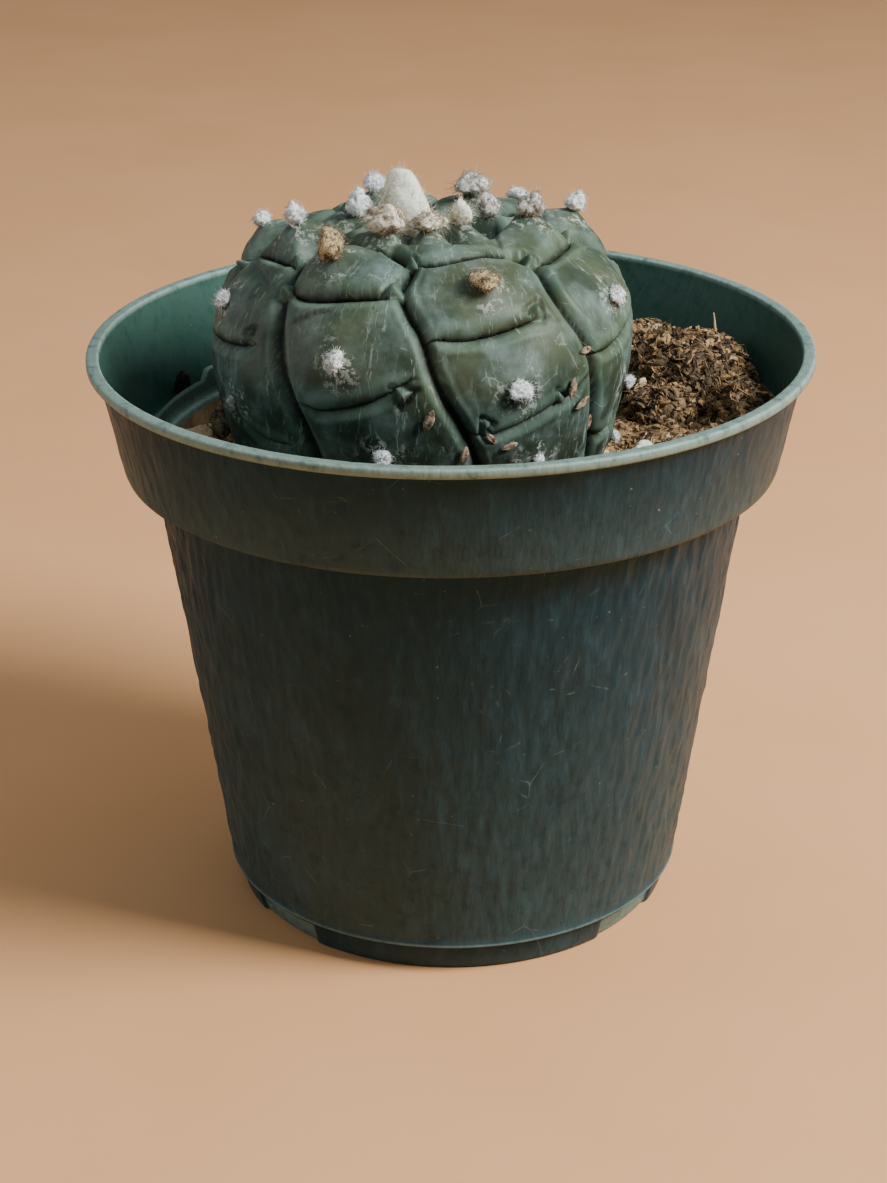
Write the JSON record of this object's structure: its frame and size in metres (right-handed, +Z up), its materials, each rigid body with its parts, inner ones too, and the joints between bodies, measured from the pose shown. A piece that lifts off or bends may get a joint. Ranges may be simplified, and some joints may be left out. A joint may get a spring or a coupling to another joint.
{
  "type": "potted round cactus",
  "caption": "Low, round, ribbed cactus with woolly areoles and no spines, rooted in peaty soil in a tapered round plastic nursery pot with a deep rim band.",
  "frame": {"origin": "centre of the pot's foot, on the surface it stands on", "axes": "+Z up along the pot's axis; +X right and +Y away from the viewer, with the cactus set a little to the left and front of the pot's axis"},
  "size_m": [0.108, 0.108, 0.116],
  "materials": {
    "pot_plastic": "dark green moulded polypropylene with a fine vertical streak texture, worn pale at the lip",
    "peat": null,
    "cactus_skin": null,
    "wool": "white areole wool",
    "old_wool": "weathered tan areole wool",
    "perlite": "white expanded perlite",
    "dry_husk": "dry brown bark and leaf flakes"
  },
  "bodies": {
    "root": {"nursery_pot": "pot_plastic", "potting_mix": "peat", "peat_clod": "peat", "cactus_stem": "cactus_skin", "wool_front_left_1": "old_wool", "wool_front_left_2": "old_wool", "wool_front_left_3": "wool", "wool_front_left_4": "wool", "wool_front_right_1": "wool", "wool_front_right_2": "old_wool", "wool_front_right_3": "wool", "wool_front_right_4": "wool", "wool_right_front_1": "wool", "wool_right_front_2": "wool", "wool_right_front_3": "wool", "wool_right_front_4": "wool", "wool_right_back_1": "wool", "wool_right_back_2": "wool", "wool_right_back_3": "wool", "wool_right_back_4": "wool", "wool_back_right_1": "wool", "wool_back_right_2": "wool", "wool_back_right_3": "wool", "wool_back_right_4": "wool", "wool_back_left_1": "wool", "wool_back_left_2": "wool", "wool_back_left_3": "wool", "wool_back_left_4": "wool", "wool_left_back_1": "wool", "wool_left_back_2": "wool", "wool_left_back_3": "wool", "wool_left_back_4": "wool", "wool_left_front_1": "wool", "wool_left_front_2": "wool", "wool_left_front_3": "wool", "wool_crown": "wool", "wool_crown_side": "wool", "perlite_grain_1": "perlite", "perlite_grain_2": "perlite", "perlite_grain_3": "perlite", "perlite_grain_4": "perlite", "perlite_grain_5": "perlite", "perlite_grain_6": "perlite", "perlite_grain_7": "perlite", "bark_flake": "dry_husk", "leaf_scrap": "dry_husk", "dark_crumb": "peat", "dry_stalk": "dry_husk", "dry_husk_1": "dry_husk", "dry_husk_2": "dry_husk", "dry_husk_3": "dry_husk", "dry_husk_4": "dry_husk", "dry_husk_5": "dry_husk", "dry_husk_6": "dry_husk", "dry_husk_7": "dry_husk", "dry_husk_8": "dry_husk"}
  },
  "joints": []
}
